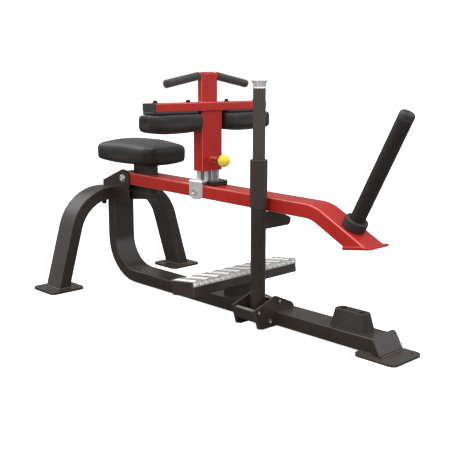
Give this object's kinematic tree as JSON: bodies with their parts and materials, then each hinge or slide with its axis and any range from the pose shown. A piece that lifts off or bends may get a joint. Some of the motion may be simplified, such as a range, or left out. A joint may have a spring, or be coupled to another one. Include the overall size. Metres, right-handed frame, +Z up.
{
  "type": "seated calf raise machine",
  "caption": "Plate-loaded seated calf raise machine: floor frame with seat and foot step, pivoting lever with weight horn and height-adjustable knee pads, and a swing-out catch post.",
  "frame": {"origin": "on the floor, under the middle of the machine's length and width", "axes": "+X the way the user faces, along the floor beam towards the weight horn; +Y the user's left; +Z up"},
  "size_m": [1.539, 0.78, 0.8682],
  "materials": {
    "red_paint": "gloss red paint",
    "dark_paint": "satin dark warm-grey powder coat",
    "chrome": "polished chrome plate",
    "zinc": "dull plated steel",
    "black_steel": "black-brown coated steel",
    "rubber": "moulded black rubber",
    "plastic": "moulded black plastic",
    "leather": "black synthetic leather over foam",
    "foam": "textured foam rubber grip",
    "checker_plate": "bright raised-diamond tread plate",
    "yellow_plastic": "glossy yellow plastic ball"
  },
  "bodies": {
    "frame": {"main_frame": "dark_paint", "front_end_plate": "dark_paint", "front_foot": "dark_paint", "rear_foot_right": "dark_paint", "rear_foot_left": "dark_paint", "rear_leg_right": "dark_paint", "rear_leg_left": "dark_paint", "hinge_plate_right": "dark_paint", "hinge_plate_left": "dark_paint", "leg_bolt_right": "black_steel", "leg_bolt_left": "black_steel", "lever_axle": "chrome", "seat_support": "dark_paint", "seat_post": "dark_paint", "seat_plate": "black_steel", "seat_cushion": "leather", "step_tread": "checker_plate", "step_tube": "dark_paint", "step_cap_right": "dark_paint", "step_cap_left": "dark_paint", "step_post": "dark_paint", "bump_stop": "rubber", "catch_plate_front": "dark_paint", "catch_plate_rear": "dark_paint", "catch_web": "dark_paint", "catch_pivot_bolt": "zinc", "catch_inner_stop": "zinc", "catch_outer_stop": "zinc"},
    "lever": {"lever_arm": "red_paint", "lever_end_plate": "red_paint", "horn_collar": "rubber", "weight_horn": "black_steel", "horn_cap": "plastic", "knee_bumper": "rubber"},
    "knee_base": {"pivot_bracket": "chrome", "bracket_bolt": "chrome", "inner_post": "chrome"},
    "knee_unit": {"outer_post": "red_paint", "knee_liner": "plastic", "cross_bar": "red_paint", "bar_cap_right": "plastic", "bar_cap_left": "plastic", "pad_board_right": "plastic", "pad_board_left": "plastic", "knee_pad_right": "leather", "knee_pad_left": "leather", "pad_bolt_outer_right": "black_steel", "pad_bolt_inner_right": "black_steel", "pad_bolt_inner_left": "black_steel", "pad_bolt_outer_left": "black_steel", "handle_mast": "red_paint", "grip_right": "foam", "grip_left": "foam"},
    "knee_pin": {"pull_pin": "zinc", "pin_knob": "yellow_plastic"},
    "catch": {"catch_tube": "dark_paint", "catch_sleeve": "dark_paint", "catch_handle": "dark_paint", "catch_cap": "chrome", "catch_arm": "dark_paint"}
  },
  "joints": [
    {"name": "lever_lift", "type": "hinge", "parent": "frame", "child": "lever", "pos_m": [-0.5835, 0, 0.443], "axis": [0, -1, 0], "range_deg": [0, 10]},
    {"name": "knee_tilt", "type": "hinge", "parent": "lever", "child": "knee_base", "pos_m": [-0.13459, 0, 0.43399], "axis": [0, -1, 0], "range_deg": [0, 8]},
    {"name": "knee_height", "type": "slide", "parent": "knee_base", "child": "knee_unit", "axis": [0, 0, 1], "range_m": [0, 0.15]},
    {"name": "pin_pull", "type": "slide", "parent": "knee_unit", "child": "knee_pin", "axis": [1, 0, 0], "range_m": [0, 0.012], "stiffness_N_per_m": 600, "springref_m": -0.006},
    {"name": "catch_swing", "type": "hinge", "parent": "frame", "child": "catch", "pos_m": [0.2155, -0.085, 0.033], "axis": [1, 0, 0], "range_deg": [0, 22]}
  ]
}
